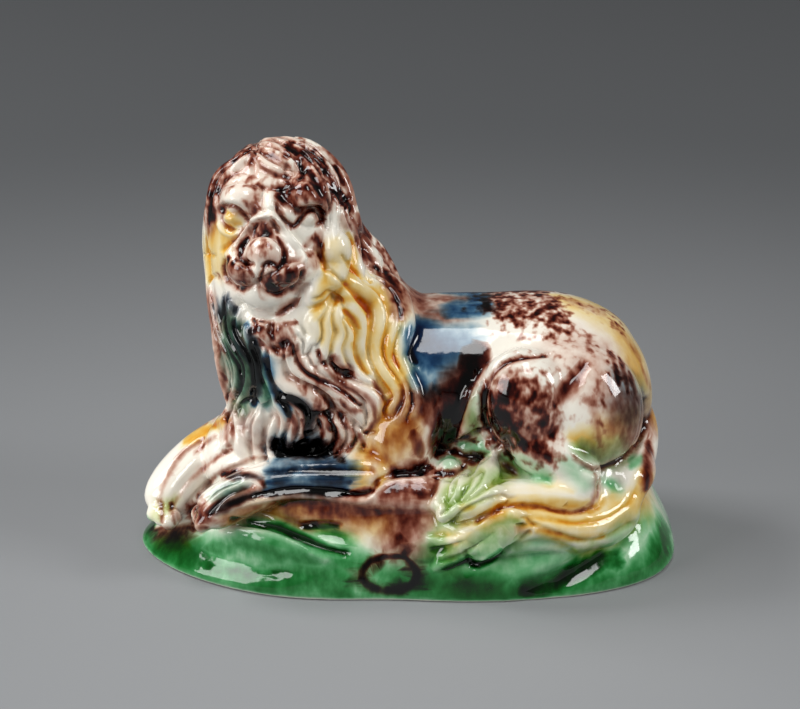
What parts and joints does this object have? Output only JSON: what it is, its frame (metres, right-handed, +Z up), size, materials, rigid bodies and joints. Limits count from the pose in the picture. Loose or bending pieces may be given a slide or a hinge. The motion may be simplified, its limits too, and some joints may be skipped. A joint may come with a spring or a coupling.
{
  "type": "staffordshire lion figure",
  "caption": "Small recumbent lion with a long wavy mane, head turned to the viewer, moulded in one with a rocky oval ground and covered in mottled coloured lead glazes.",
  "frame": {"origin": "middle of the flat underside, on the surface it stands on", "axes": "+X runs along the lion from its forepaws to its tail, -Y is the side that the turned head looks to, +Z is up"},
  "size_m": [0.1116, 0.0612, 0.0899],
  "materials": {
    "glazed_earthenware": "glossy lead glaze over cream earthenware, mottled in manganese brown, ochre, copper green and cobalt blue"
  },
  "bodies": {
    "root": {"lion_on_rocky_ground": "glazed_earthenware"}
  },
  "joints": []
}
